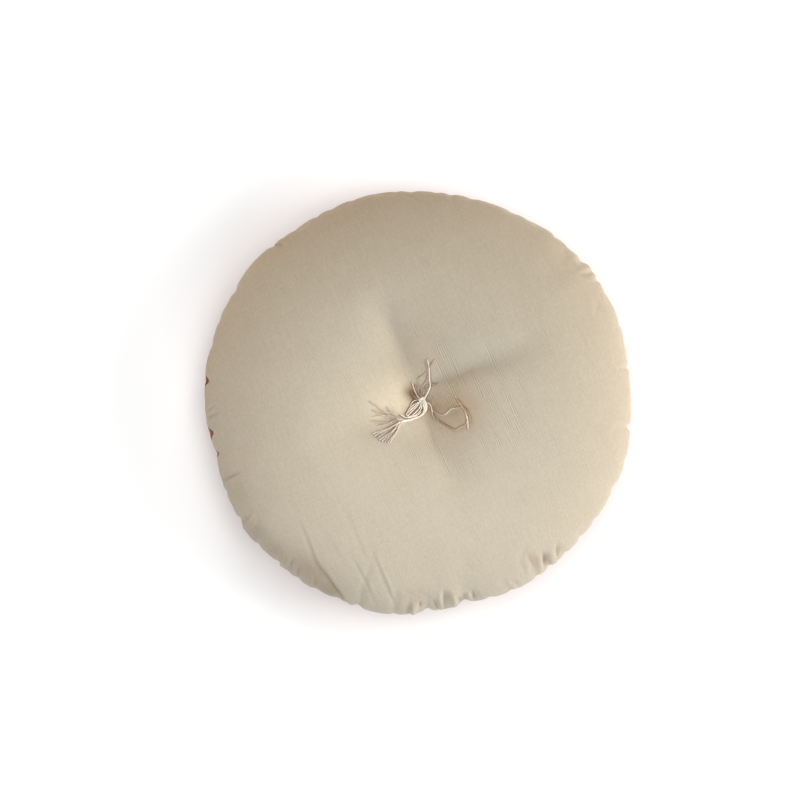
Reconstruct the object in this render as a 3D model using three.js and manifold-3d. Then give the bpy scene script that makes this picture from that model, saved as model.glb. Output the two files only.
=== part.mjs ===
// Round two-sided floor cushion: a cream face, a rust-brown back and a tied thread tuft.
// Millimetres. The cushion lies on its back: +Z is up out of the face, +X and +Y are the
// right and the top of the face seen from above. The origin is under the middle of the
// outline, on the surface that the cushion lies on.

import * as THREE from 'three';
import { mergeVertices } from 'three/addons/utils/BufferGeometryUtils.js';
import Module from 'manifold-3d';

// Driving dimensions of the filled body
const RIM_RADIUS = 199.5; // sewn rim, before its puckers and bulges
const SEAM_HEIGHT = 38; // rim seam above the floor
const SEAM_TILT = 4; // how much higher the seam is at SEAM_HIGH_SIDE
const SEAM_HIGH_SIDE = 180; // degrees, counter-clockwise from +X
const FACE_RISE = 53; // crown above the seam, before the tuft draws it in
const BACK_DROP = 45; // fall of the back below the seam, before the floor flattens it
const SIDE_FULLNESS = 3; // exponent of the side's curve, 2 is an ellipse
const BULGE = 1.6; // how far the cloth rolls out beside the seam, between two puckers
const BULGE_FROM_SEAM = 11; // distance from the seam to the top of that roll
const PUCKERED_SHARE = 0.45; // how much of the roll a pucker takes away
const PUCKER_SHARPNESS = 0.75; // of its half-width, for the fold in the middle of a pucker
const LOBE_REACH = 45; // how far up the side a broad bulge of the outline fades

// Back cloth and the gap that every two pieces keep
const CLOTH = 1.6;
const GAP = 0.5;

// The drawn-in centres: a wide funnel with a narrow pit in the face, a dimple in the back
const FUNNEL = { x: 2, y: 9, depth: 43, radius: 49, power: 1.4 };
const PIT = { x: -7, y: 10, depth: 9, radius: 6.5 };
const BACK_DIMPLE = { depth: 13, radius: 50 };

// Thread of the tuft
const THREAD = 1.4; // corner to corner of its four sides
const THREAD_STEPS = 8;
const ROOT_RISE = 1.5; // how much higher a thread's root is than its free end
const OVERLAP_LIFT = 1.8; // every second thread of a fan arches this much higher
const LYING_GAP = 1.4; // kept under a strand that lies on the hollow face
const KNOT = { x: 3.5, y: 0.5, width: 7, height: 5, wrapRadius: 2.6, wrapThread: 0.9 };

// Turns rows of values into objects with named columns
function table(columns, rows) {
  return rows.map((row) => Object.fromEntries(columns.map((name, i) => [name, row[i]])));
}

// Puckers of the rim seam: where and how wide in degrees, how deep and how far up in mm
const PUCKERS = table(['at', 'width', 'depth', 'reach'], [
  [9.1, 0.9, 2.0, 13],
  [21, 2.0, 0.6, 9],
  [34.1, 1.0, 1.3, 12],
  [37.0, 0.9, 0.8, 12],
  [40.5, 1.8, 1.9, 15],
  [50, 1.6, 0.7, 9],
  [63.5, 2.0, 0.6, 12],
  [75, 1.8, 0.7, 11],
  [81, 1.6, 0.6, 11],
  [92, 2.0, 0.4, 9],
  [108, 2.0, 0.4, 9],
  [119, 1.8, 0.8, 12],
  [133.2, 1.2, 1.8, 12],
  [149, 1.8, 0.9, 12],
  [158, 1.6, 0.6, 11],
  [165, 1.6, 0.4, 9],
  [174.6, 1.6, 4.2, 13],
  [188.7, 1.7, 4.6, 14],
  [194.8, 1.2, 2.8, 13],
  [205, 1.8, 0.7, 10],
  [213.6, 1.4, 1.4, 12],
  [222, 1.6, 0.8, 17],
  [229.5, 1.5, 0.8, 12],
  [236, 1.5, 0.8, 12],
  [242, 1.5, 0.7, 15],
  [247.5, 1.5, 0.7, 12],
  [253.6, 1.4, 2.2, 44],
  [263.5, 1.6, 0.9, 34],
  [272.5, 1.7, 2.4, 18],
  [283, 2.2, 3.4, 22],
  [290, 1.6, 0.6, 10],
  [296, 1.5, 0.8, 12],
  [304, 1.5, 0.8, 12],
  [308.3, 1.2, 1.8, 14],
  [314, 1.3, 1.5, 12],
  [320, 1.5, 1.1, 12],
  [326, 1.5, 1.0, 12],
  [336, 1.8, 1.2, 12],
  [344, 1.6, 0.8, 11],
  [352.9, 1.1, 3.6, 17],
]);

// Broad fullness of the outline: where and how wide in degrees, how far out in mm
const LOBES = table(['at', 'width', 'rise'], [
  [23, 8.5, 3.1],
  [37.5, 7, 5.0],
  [50.5, 5, 2.3],
  [84, 24, -3.4],
  [114, 4, -1.6],
  [125, 6, -2.2],
  [143, 9, 2.0],
  [158, 5, 1.6],
  [171, 7, 1.6],
  [195, 6, -4.0],
  [219, 7, 3.2],
  [238, 8, 2.2],
  [258, 9, 2.6],
  [266, 5, 0.8],
  [273.5, 6, -2.4],
  [284.5, 5.5, -4.4],
  [293, 5, -1.2],
  [329, 5, 1.0],
  [344, 9, 3.2],
]);

// Soft valleys in the face: start point, heading in degrees, length, depth, half-width
const VALLEYS = table(['x', 'y', 'heading', 'length', 'depth', 'width'], [
  [-3, 17, 116.5, 96, 8.0, 13],
  [6, 21, 17, 120, 8.5, 13],
  [10, -3, -71, 88, 7.5, 13],
  [-22, -8, 202, 90, 4.0, 20],
  [-104, -134, -57.5, 60, 3.4, 6],
  [-42, -148, -65, 44, 2.6, 6],
  [-178, -74, 30, 30, 2.2, 6],
  [118, -130, -75, 34, 2.4, 6],
  [150, 116, 12, 24, 2.0, 6],
]);

// Free threads of the tuft: how many, how far apart their tips lie, how high they arch
// above the face at mid-length, and the route in plan from the root to the middle tip
const THREADS = table(['count', 'spread', 'arch', 'route'], [
  [6, 3.6, 2, [[-14, -18.5], [-21, -23], [-28, -29], [-35, -35]]],
  [5, 4.4, 4, [[-13, -18], [-22, -17], [-32, -14], [-42, -10]]],
  [2, 5.0, 5, [[-9, -17.5], [-15, -13], [-19, -10], [-21, -6]]],
  [1, 0, 1, [[5, -1], [14, -12], [18, -20], [30, -26], [43, -25], [46, -14], [41, -4], [36, 4]]],
  [1, 0, 3.5, [[5, -0.5], [18, -8], [25, -12], [33, -7], [43, -8], [48, -18], [45, -28]]],
  [2, 3.0, 4, [[5, -1.5], [12, -14], [22, -24], [38, -30]]],
  [2, 4.0, 3, [[4.5, 1.5], [10, 12], [10.5, 24], [10, 38]]],
  [1, 0, 5, [[3, 2], [3, 16], [10, 28], [15, 38]]],
  [2, 2.2, 4, [[5, 2], [9, 11], [14, 14.5], [20, 16]]],
  [3, 3.0, 3, [[2.5, -0.5], [-3, -6], [-7, -10], [-9, -13]]],
  [2, 2.6, 2, [[3.5, -1.5], [1, -8], [-3, -11], [-7, -13]]],
]);

// Trunk of threads from the knot round to the fork of the two fans
const TRUNK = [[5, -1], [7, -8], [3, -14], [-6, -17.5], [-15, -18.5]];
const TRUNK_WIDTH = 4;

// Stem of threads from the pit to the knot
const STEM_FOOT = { x: -6, y: 11 };
const STEM_WIDTH = 3.6;
const STEM_ARCH = 1;

// Crossed bars of thread in the dimple of the back
const BACK_STITCH = { length: 17, width: 2.4, headings: [20, 110] };

const FACE_COLOUR = 0xc9bfa6;
const BACK_COLOUR = 0x8c5032;
const THREAD_COLOUR = 0xe4dac4;

// Rings of the surface as fractions of the rim radius, from the seam to the middle, each
// with the share of the rim's angles that it keeps
const FACE_RINGS = table(['fraction', 'every'], [
  [1, 1],
  [0.992, 1],
  [0.955, 1],
  [0.885, 1],
  [0.79, 1],
  [0.67, 2],
  [0.56, 2],
  [0.47, 2],
  [0.39, 2],
  [0.32, 2],
  [0.255, 2],
  [0.195, 2],
  [0.14, 2],
  [0.1, 2],
  [0.07, 2],
  [0.045, 4],
  [0.02, 4],
]);
const BACK_RINGS = table(['fraction', 'every'], [
  [1, 1],
  [0.992, 1],
  [0.955, 1],
  [0.885, 1],
  [0.79, 1],
  [0.69, 2],
  [0.6, 2],
  [0.54, 2],
  [0.25, 2],
  [0.19, 2],
  [0.13, 2],
  [0.07, 4],
]);

const RADIANS = Math.PI / 180;

// Shortest signed turn between two angles in degrees
function turn(from, to) {
  return ((((to - from + 180) % 360) + 360) % 360) - 180;
}

// A smooth bump of height 1, down to a third at its half-width
function bump(distance, halfWidth) {
  return Math.exp(-((distance / halfWidth) ** 2));
}

// Angles of the mesh: both shoulders and the middle of every pucker, and the crest between
// it and the next one
function meshAngles() {
  return PUCKERS.flatMap((pucker, i) => {
    const next = PUCKERS[(i + 1) % PUCKERS.length];
    const shoulder = pucker.at + pucker.width;
    const crest = shoulder + turn(shoulder, next.at - next.width) / 2;
    return [pucker.at - pucker.width, pucker.at, shoulder, crest];
  });
}
const ANGLES = meshAngles();

// Height of the rim seam, a little higher on one side
function seamLift(angle, fraction) {
  return SEAM_TILT * Math.cos((angle - SEAM_HIGH_SIDE) * RADIANS) * fraction ** 2;
}

// How far the cloth stands out from the plain side at an angle and a distance from the seam
function rimRelief(angle, fromSeam) {
  const roll = (fromSeam / BULGE_FROM_SEAM) * Math.exp(1 - fromSeam / BULGE_FROM_SEAM);
  let relief = BULGE * roll;
  for (const lobe of LOBES) {
    relief += lobe.rise * bump(turn(lobe.at, angle), lobe.width) * bump(fromSeam, LOBE_REACH);
  }
  for (const pucker of PUCKERS) {
    const across = bump(turn(pucker.at, angle), pucker.width * PUCKER_SHARPNESS);
    const along = bump(fromSeam, pucker.reach);
    relief -= across * along * (pucker.depth + BULGE * roll * PUCKERED_SHARE);
  }
  return relief;
}

// Depth of the soft valleys at a point of the face: each is deepest in its first third,
// widens along its length and fades out at both ends
function valleyDepth(x, y) {
  let depth = 0;
  for (const valley of VALLEYS) {
    const heading = valley.heading * RADIANS;
    const offset = new THREE.Vector2(x - valley.x, y - valley.y).rotateAround(new THREE.Vector2(), -heading);
    const share = THREE.MathUtils.clamp(offset.x / valley.length, 0, 1);
    const fade = Math.sin(Math.PI * share ** 0.6);
    const halfWidth = valley.width * (0.7 + 0.6 * share);
    depth += valley.depth * fade * bump(offset.y, halfWidth);
  }
  return depth;
}

// Depth of the drawn-in middle of the face
function funnelDepth(x, y) {
  const wide = Math.hypot(x - FUNNEL.x, y - FUNNEL.y) / FUNNEL.radius;
  const narrow = Math.hypot(x - PIT.x, y - PIT.y);
  return FUNNEL.depth * Math.exp(-(wide ** FUNNEL.power)) + PIT.depth * bump(narrow, PIT.radius);
}

// Height of the face above the floor at a point of the plan
function faceHeight(x, y) {
  const fraction = Math.min(Math.hypot(x, y) / RIM_RADIUS, 1);
  const angle = Math.atan2(y, x) / RADIANS;
  const crown = FACE_RISE * Math.sqrt(1 - fraction ** SIDE_FULLNESS);
  const valleys = valleyDepth(x, y) * (1 - fraction ** 10);
  return SEAM_HEIGHT + seamLift(angle, fraction) + crown - funnelDepth(x, y) - valleys;
}

// Point of the plain side pushed out along its own slope by the relief of the rim
function pushedOut(angle, fraction, height, rise) {
  const outward = (SIDE_FULLNESS / RIM_RADIUS) * fraction ** (SIDE_FULLNESS - 1);
  const upward = (2 * rise) / FACE_RISE ** 2;
  const slope = new THREE.Vector2(outward, upward).normalize();
  const radius = RIM_RADIUS * fraction;
  const relief = rimRelief(angle, Math.hypot(RIM_RADIUS - radius, rise));
  return {
    radius: radius + slope.x * relief,
    height: height + slope.y * relief,
  };
}

// Point of the cream face
function facePoint(angle, fraction) {
  const plan = new THREE.Vector2(RIM_RADIUS * fraction, 0).rotateAround(new THREE.Vector2(), angle * RADIANS);
  const rise = FACE_RISE * Math.sqrt(Math.max(1 - fraction ** SIDE_FULLNESS, 0));
  const side = pushedOut(angle, fraction, faceHeight(plan.x, plan.y), rise);
  const x = side.radius * Math.cos(angle * RADIANS);
  const y = side.radius * Math.sin(angle * RADIANS);
  return new THREE.Vector3(x, y, side.height + GAP / 2);
}

// Point of the brown back, which the floor flattens and the stitch draws in at the middle
function backPoint(angle, fraction) {
  const drop = BACK_DROP * Math.sqrt(Math.max(1 - fraction ** SIDE_FULLNESS, 0));
  const side = pushedOut(angle, fraction, 0, drop);
  const seam = SEAM_HEIGHT + seamLift(angle, fraction);
  const inDimple = Math.min((RIM_RADIUS * fraction) / BACK_DIMPLE.radius, 1);
  const dimple = BACK_DIMPLE.depth * (1 - inDimple ** 2) ** 2;
  const x = side.radius * Math.cos(angle * RADIANS);
  const y = side.radius * Math.sin(angle * RADIANS);
  return new THREE.Vector3(x, y, Math.max(seam - drop - side.height, 0) + dimple - GAP / 2);
}

// A point moved straight towards the middle axis
function movedIn(point, distance) {
  return point.add(new THREE.Vector3(-point.x, -point.y, 0).setLength(distance));
}

// A point of the back moved in by a distance, square to the profile of the side
function insideBack(angle, fraction, distance) {
  const point = backPoint(angle, fraction);
  if (fraction === 0) return point.add(new THREE.Vector3(0, 0, distance));
  if (fraction === 1) return movedIn(point, distance);
  const along = backPoint(angle, fraction + 0.004).sub(backPoint(angle, fraction - 0.004));
  const around = new THREE.Vector3(-point.y, point.x, 0);
  const inward = along.cross(around).normalize();
  return point.addScaledVector(inward, distance);
}

// Point of the filled body's hidden side, which ends above the edge of the back cloth
function hiddenPoint(angle, fraction) {
  const inset = CLOTH + GAP;
  if (fraction === 1) return movedIn(facePoint(angle, 1), inset);
  return insideBack(angle, fraction, inset);
}

// One closed body built up ring by ring
class Body {
  constructor() {
    this.points = [];
    this.triangles = [];
  }

  add(point) {
    this.points.push(point.x, point.y, point.z);
    return this.points.length / 3 - 1;
  }

  ring(points) {
    return points.map((point) => this.add(point));
  }

  triangle(a, b, c, reversed) {
    this.triangles.push(...(reversed ? [a, c, b] : [a, b, c]));
  }

  // Joins an outer ring to an inner one that has as many points or half as many
  join(outer, inner, reversed) {
    const share = outer.length / inner.length;
    outer.forEach((point, i) => {
      const next = outer[(i + 1) % outer.length];
      const near = inner[Math.floor(i / share)];
      const far = inner[Math.floor((i + 1) / share) % inner.length];
      this.triangle(point, next, far, reversed);
      if (near !== far) this.triangle(point, far, near, reversed);
    });
  }

  // Closes a ring with one point in its middle
  close(ring, middle, reversed) {
    const centre = this.add(middle);
    ring.forEach((point, i) => {
      this.triangle(point, ring[(i + 1) % ring.length], centre, reversed);
    });
  }

  // Lays a whole surface, a disc of rings round a middle, and gives its outermost ring
  disc(rings, pointAt, reversed) {
    const laid = rings.map(({ fraction, every }) => {
      const angles = ANGLES.filter((_, i) => i % every === every - 1);
      return this.ring(angles.map((angle) => pointAt(angle, fraction)));
    });
    for (let i = 1; i < laid.length; i += 1) this.join(laid[i - 1], laid[i], reversed);
    this.close(laid[laid.length - 1], pointAt(0, 0), reversed);
    return laid[0];
  }

  geometry() {
    const geometry = new THREE.BufferGeometry();
    geometry.setAttribute('position', new THREE.Float32BufferAttribute(this.points, 3));
    geometry.setIndex(this.triangles);
    geometry.computeVertexNormals();
    return geometry;
  }
}

// The filled body: the cream face down to the seam, then the hidden side inside the back
function cushionGeometry() {
  const body = new Body();
  const seam = body.disc(FACE_RINGS, facePoint, false);
  const hidden = body.disc(BACK_RINGS, hiddenPoint, true);
  body.join(seam, hidden, true);
  return body.geometry();
}

// The fitted back cloth: its brown outside, its inside and the edge at the seam
function backPanelGeometry() {
  const body = new Body();
  const outside = body.disc(BACK_RINGS, backPoint, true);
  const inside = body.disc(BACK_RINGS, (angle, fraction) => insideBack(angle, fraction, CLOTH), false);
  body.join(inside, outside, true);
  return body.geometry();
}

const wasm = await Module();
wasm.setup();

// Joins closed geometries into one body
function fused(geometries) {
  const solids = geometries.map((geometry) => {
    geometry.deleteAttribute('normal');
    geometry.deleteAttribute('uv');
    const merged = mergeVertices(geometry, 1e-4);
    return new wasm.Manifold(new wasm.Mesh({
      numProp: 3,
      vertProperties: new Float32Array(merged.attributes.position.array),
      triVerts: new Uint32Array(merged.index.array),
    }));
  });
  const whole = wasm.Manifold.union(solids).getMesh();
  const geometry = new THREE.BufferGeometry();
  geometry.setAttribute('position', new THREE.BufferAttribute(whole.vertProperties, 3));
  geometry.setIndex(new THREE.BufferAttribute(whole.triVerts, 1));
  geometry.computeVertexNormals();
  return geometry;
}

// A thread or a bundle of threads along points, with so many flat sides
function strand(points, width, sides, steps) {
  const section = new THREE.Shape();
  for (let i = 0; i < sides; i += 1) {
    const angle = ((i + 0.5) / sides) * 2 * Math.PI;
    const corner = [Math.cos(angle) * width / 2, Math.sin(angle) * width / 2];
    if (i === 0) section.moveTo(...corner);
    else section.lineTo(...corner);
  }
  section.closePath();
  const extrudePath = new THREE.CatmullRomCurve3(points);
  return new THREE.ExtrudeGeometry(section, { steps, bevelEnabled: false, extrudePath });
}

// Height of the middle of a strand that lies on the face without touching it
function lyingHeight(x, y, width) {
  return faceHeight(x, y) + width / 2 + LYING_GAP;
}

// Lays a route of the plan on the face: its root up in the knot or trunk, its tip low
function laidOnFace(route, width, arch, rootHeight) {
  const plan = new THREE.CatmullRomCurve3(route.map(([x, y]) => new THREE.Vector3(x, y, 0)));
  return Array.from({ length: THREAD_STEPS + 1 }, (_, i) => {
    const share = i / THREAD_STEPS;
    const point = plan.getPoint(share);
    const lift = arch * Math.sin(Math.PI * share) + rootHeight * (1 - share) ** 2;
    point.z = lyingHeight(point.x, point.y, width) + lift;
    return point;
  });
}

// All free threads of one row: their tips fan out side by side, alternately high and low
function fan({ count, spread, arch, route }) {
  const [tipX, tipY] = route[route.length - 1];
  const [rootX, rootY] = route[0];
  const aside = new THREE.Vector2(rootY - tipY, tipX - rootX).normalize();
  return Array.from({ length: count }, (_, i) => {
    const offset = (i - (count - 1) / 2) * spread;
    const routed = route.map(([x, y], step) => {
      const share = (step / (route.length - 1)) ** 1.3;
      return [x + aside.x * offset * share, y + aside.y * offset * share];
    });
    const lifted = arch + (i % 2) * OVERLAP_LIFT;
    return strand(laidOnFace(routed, THREAD, lifted, ROOT_RISE), THREAD, 4, THREAD_STEPS);
  });
}

// The tuft: stem out of the pit, knot, trunk, and the free threads
function tuftGeometry() {
  const knotZ = lyingHeight(KNOT.x, KNOT.y, KNOT.width);
  const knot = new THREE.IcosahedronGeometry(1, 1);
  knot.scale(KNOT.width / 2, KNOT.width / 2, KNOT.height / 2);
  knot.translate(KNOT.x, KNOT.y, knotZ);
  const wrap = new THREE.TorusGeometry(KNOT.wrapRadius, KNOT.wrapThread, 5, 10);
  wrap.rotateX(70 * RADIANS);
  wrap.rotateZ(-30 * RADIANS);
  wrap.translate(KNOT.x, KNOT.y, knotZ);
  const footZ = lyingHeight(STEM_FOOT.x, STEM_FOOT.y, STEM_WIDTH);
  const foot = new THREE.Vector3(STEM_FOOT.x, STEM_FOOT.y, footZ);
  const head = new THREE.Vector3(KNOT.x, KNOT.y, knotZ);
  const bend = foot.clone().lerp(head, 0.5).setZ(knotZ + STEM_ARCH);
  const stem = strand([foot, bend, head], STEM_WIDTH, 6, 6);
  const trunk = strand(laidOnFace(TRUNK, TRUNK_WIDTH, 1, 0.5), TRUNK_WIDTH, 6, THREAD_STEPS);
  return fused([knot, wrap, stem, trunk, ...THREADS.flatMap(fan)]);
}

// The plain stitch under the cushion: crossed bars that follow the dimple
function backStitchGeometry() {
  const { length, width, headings } = BACK_STITCH;
  const bars = headings.map((heading) => {
    const points = [-0.5, -0.25, 0, 0.25, 0.5].map((share) => {
      const fraction = Math.abs(share * length) / RIM_RADIUS;
      const point = backPoint(heading + (share < 0 ? 180 : 0), fraction);
      point.z -= width * 0.5 + 2 * GAP;
      return point;
    });
    return strand(points, width, 6, 4);
  });
  return fused(bars);
}

function mesh(name, geometry, color, roughness) {
  const material = new THREE.MeshStandardMaterial({ color, roughness, metalness: 0, flatShading: true });
  const piece = new THREE.Mesh(geometry, material);
  piece.name = name;
  return piece;
}

const zabuton = new THREE.Group();
zabuton.add(
  mesh('cushion', cushionGeometry(), FACE_COLOUR, 0.95),
  mesh('back_panel', backPanelGeometry(), BACK_COLOUR, 0.95),
  mesh('tuft_tassel', tuftGeometry(), THREAD_COLOUR, 0.9),
  mesh('tuft_back_stitch', backStitchGeometry(), THREAD_COLOUR, 0.9),
);

// The origin goes under the middle of the outline, on the floor
const box = new THREE.Box3().setFromObject(zabuton, true);
const middle = box.getCenter(new THREE.Vector3());
zabuton.position.set(-middle.x, -middle.y, -box.min.z);

export default zabuton;
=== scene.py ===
import math

import bpy
import numpy as np
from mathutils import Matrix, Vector
from mathutils.bvhtree import BVHTree


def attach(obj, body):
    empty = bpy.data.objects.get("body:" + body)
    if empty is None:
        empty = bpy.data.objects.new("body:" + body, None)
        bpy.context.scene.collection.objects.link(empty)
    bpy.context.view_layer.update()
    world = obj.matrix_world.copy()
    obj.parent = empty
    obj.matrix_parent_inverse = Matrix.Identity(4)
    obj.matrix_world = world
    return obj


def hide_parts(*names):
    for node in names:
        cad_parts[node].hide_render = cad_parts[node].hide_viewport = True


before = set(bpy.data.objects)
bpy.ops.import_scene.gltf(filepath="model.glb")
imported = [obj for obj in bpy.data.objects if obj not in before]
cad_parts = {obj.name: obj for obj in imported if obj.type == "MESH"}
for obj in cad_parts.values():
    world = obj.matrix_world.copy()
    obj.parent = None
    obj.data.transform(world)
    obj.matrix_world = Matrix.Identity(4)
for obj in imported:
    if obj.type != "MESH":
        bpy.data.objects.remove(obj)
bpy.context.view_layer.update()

# Round two-sided floor cushion, dressed: a cream slubbed face, a rust-brown back and a tied
# thread tuft. Lengths below are millimetres, unless a comment says metres.
MM = 0.001

# Driving dimensions, the same as the solids'
RIM_RADIUS = 199.5
SEAM_HEIGHT = 38.0
SEAM_TILT = 4.0
SEAM_HIGH_SIDE = 180.0
FACE_RISE = 53.0
BACK_DROP = 45.0
SIDE_FULLNESS = 3.0
BULGE = 1.6
BULGE_FROM_SEAM = 11.0
PUCKERED_SHARE = 0.45
PUCKER_SHARPNESS = 0.75
LOBE_REACH = 45.0
FUNNEL = {"x": 2.0, "y": 9.0, "depth": 43.0, "radius": 49.0, "power": 1.4}
PIT = {"x": -7.0, "y": 10.0, "depth": 9.0, "radius": 6.5}
BACK_DIMPLE = {"depth": 13.0, "radius": 50.0}

# The photograph: millimetres to a pixel, and where the middle of the cushion shows
PIXEL = 0.94
IMAGE_SIZE = 800
CUSHION_PIXEL = (417.9, 403.2)

# Mesh: squares along one side of the cloth's grid, how much closer together they lie at the rim
# and how far the grid is turned in degrees
GRID = 288
RIM_FOCUS = 0.3
GRID_TURN = 23.0

# Hidden inside: shares of the radius of its rings, points in each ring, how far the rim is
# tucked in and up or down, and how far in the inside lies, in mm
INSIDE_RINGS = (0.96, 0.85, 0.66, 0.44, 0.22)
INSIDE_COUNT = 96
LIP = 2.6
LIP_RISE = 0.4
CLOTH_INSET = 2.4


def table(columns, rows):
    """Rows of values as dictionaries with named columns."""
    return [dict(zip(columns, row)) for row in rows]


# Puckers of the rim seam: where and how wide in degrees, how deep and how far up in mm
PUCKERS = table(("at", "width", "depth", "reach"), [
    (9.1, 0.9, 2.0, 13),
    (21, 2.0, 0.6, 9),
    (34.1, 1.0, 1.3, 12),
    (37.0, 0.9, 0.8, 12),
    (40.5, 1.8, 1.9, 15),
    (50, 1.6, 0.7, 9),
    (63.5, 2.0, 0.6, 12),
    (75, 1.8, 0.7, 11),
    (81, 1.6, 0.6, 11),
    (92, 2.0, 0.4, 9),
    (108, 2.0, 0.4, 9),
    (119, 1.8, 0.8, 12),
    (133.2, 1.2, 1.8, 12),
    (149, 1.8, 0.9, 12),
    (158, 1.6, 0.6, 11),
    (165, 1.6, 0.4, 9),
    (174.6, 1.6, 4.2, 13),
    (188.7, 1.7, 4.6, 14),
    (194.8, 1.2, 2.8, 13),
    (205, 1.8, 0.7, 10),
    (213.6, 1.4, 1.4, 12),
    (222, 1.6, 0.8, 17),
    (229.5, 1.5, 0.8, 12),
    (236, 1.5, 0.8, 12),
    (242, 1.5, 0.7, 15),
    (247.5, 1.5, 0.7, 12),
    (253.6, 1.4, 2.2, 44),
    (263.5, 1.6, 0.9, 34),
    (272.5, 1.7, 2.4, 18),
    (283, 2.2, 3.4, 22),
    (290, 1.6, 0.6, 10),
    (296, 1.5, 0.8, 12),
    (304, 1.5, 0.8, 12),
    (308.3, 1.2, 1.8, 14),
    (314, 1.3, 1.5, 12),
    (320, 1.5, 1.1, 12),
    (326, 1.5, 1.0, 12),
    (336, 1.8, 1.2, 12),
    (344, 1.6, 0.8, 11),
    (352.9, 1.1, 3.6, 17),
])

# Broad fullness of the outline: where and how wide in degrees, how far out in mm
LOBES = table(("at", "width", "rise"), [
    (23, 8.5, 3.1),
    (37.5, 7, 5.0),
    (50.5, 5, 2.3),
    (84, 24, -3.4),
    (114, 4, -1.6),
    (125, 6, -2.2),
    (143, 9, 2.0),
    (158, 5, 1.6),
    (171, 7, 1.6),
    (195, 6, -4.0),
    (219, 7, 3.2),
    (238, 8, 2.2),
    (258, 9, 2.6),
    (266, 5, 0.8),
    (273.5, 6, -2.4),
    (284.5, 5.5, -4.4),
    (293, 5, -1.2),
    (329, 5, 1.0),
    (344, 9, 3.2),
])

# Soft valleys in the face: start point, heading in degrees, length, depth, half-width
VALLEYS = table(("x", "y", "heading", "length", "depth", "width"), [
    (-3, 17, 116.5, 96, 8.0, 13),
    (6, 21, 17, 120, 8.5, 13),
    (10, -3, -71, 88, 7.5, 13),
    (-22, -8, 202, 90, 4.0, 20),
])

# Sharp creases of the face, most of them near the rim: both ends, each by its angle in degrees
# and how far it lies in from the rim in mm, then the depth, the width of the steep wall, how many
# times wider the gentle wall is, the side that it is on and the painted shade at the bottom. Side
# 1 is to the left of start to end; a crease of negative depth is a ridge
CREASES = table(("at0", "in0", "at1", "in1", "depth", "width", "gentle", "side", "painted_shade"), [
    (235.4, 25, 250.8, -1, 2.2, 1.2, 3.0, -1, 0.42),
    (223.0, 46, 240.6, 15, 0.9, 1.0, 2.6, -1, 0.16),
    (244.6, 48, 258.0, 9, 0.8, 0.9, 2.6, -1, 0.13),
    (251.5, 58, 263.6, 8, 1.0, 0.9, 2.8, -1, 0.16),
    (226.7, 87, 247.3, 58, 0.3, 1.6, 1.6, -1, 0.04),
    (231.0, 53, 245.0, 34, 0.35, 1.4, 1.6, -1, 0.05),
    (243.6, 64, 252.5, 43, 0.3, 1.4, 1.6, -1, 0.04),
    (268.4, 13, 268.6, -1, -2.7, 1.2, 3.0, 1, 0.0),
    (270.3, 13, 270.5, 6, 1.4, 1.0, 1.5, 1, 0.7),
    (277.5, 23, 277.4, 2, 3.3, 1.4, 3.6, 1, 0.4),
    (280.3, 14, 280.3, 1, -1.4, 1.2, 1.8, -1, 0.0),
    (273.8, 14, 275.4, 2, 1.8, 1.2, 3.0, 1, 0.45),
    (285.8, 15, 285.8, 4, 1.6, 1.1, 1.8, 1, 0.6),
    (284.2, 14, 284.4, 5, -1.6, 1.2, 1.6, 1, 0.0),
    (281.6, 10, 281.8, 1, 1.3, 1.0, 1.8, 1, 0.45),
    (314.4, 15, 311.4, 3, 2.4, 2.1, 1.9, 1, 0.34),
    (309.7, 18, 307.2, 3, 3.3, 1.8, 2.4, 1, 0.5),
    (305.6, 30, 304.7, 11, 1.4, 1.7, 2.6, 1, 0.22),
    (38.9, 15, 35.9, 0, 1.1, 1.5, 2.4, -1, 0.22),
    (130.8, 10, 132.8, -1, 1.3, 1.1, 1.6, -1, 0.35),
    (183.1, 19, 185.6, 4, -2.2, 1.2, 2.2, 1, 0.0),
    (181.7, 13, 183.8, 3, -1.5, 1.1, 1.8, 1, 0.0),
    (201.7, 26, 202.1, 4, 1.2, 1.3, 1.8, 1, 0.2),
    (202.6, 17, 203.0, 3, -1.6, 1.0, 1.6, 1, 0.0),
    (214.7, 16, 215.9, 2, -3.2, 1.4, 3.0, 1, 0.16),
    (228.6, 11, 230.5, 0, -2.8, 1.3, 2.0, 1, 0.26),
    (231.3, 14, 232.4, 3, 1.8, 1.1, 2.0, 1, 0.36),
    (234.2, 11, 235.2, 2, 1.5, 1.1, 2.0, 1, 0.34),
    (239.4, 13, 240.6, 2, 1.1, 1.3, 2.2, 1, 0.24),
    (150.5, 10, 152.5, 1, 0.4, 1.4, 2.0, 1, 0.05),
    (166.0, 10, 167.5, 1, 0.4, 1.4, 2.0, -1, 0.05),
    (297.0, 12, 298.5, 1, 0.5, 1.4, 2.0, 1, 0.05),
    (324.0, 11, 326.0, 1, 0.6, 1.4, 2.2, 1, 0.05),
    (331.0, 9, 332.5, 1, 0.6, 1.3, 2.0, 1, 0.1),
    (336.0, 12, 337.5, 1, 0.4, 1.4, 2.0, 1, 0.05),
    (111.4, 109, 105.1, 180, 1.7, 3.7, 1.4, -1, 0.0),
    (295.0, 133, 302.0, 185, 1.6, 3.4, 1.4, 1, 0.0),
    (28.7, 114, 36.1, 174, 0.8, 3.0, 2.5, 1, 0.1),
])

# Form of every crease: how far its walls reach, how sharp its bottom is, the soft ridge beside it
# and where its painted shade is darkest. Places and widths are times its own width, and the height
# of the ridge is a share of the depth. Past its ends it fades over some mm
CREASE = {
    "reach": 1.7, "sharpness": 1.15, "ridge": 0.35, "ridge_away": 2.8, "ridge_width": 1.6,
    "ends": 3.0, "dark_trough": 0.3, "dark_ridge": 2.2, "dark_width": 1.1,
}
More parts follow.
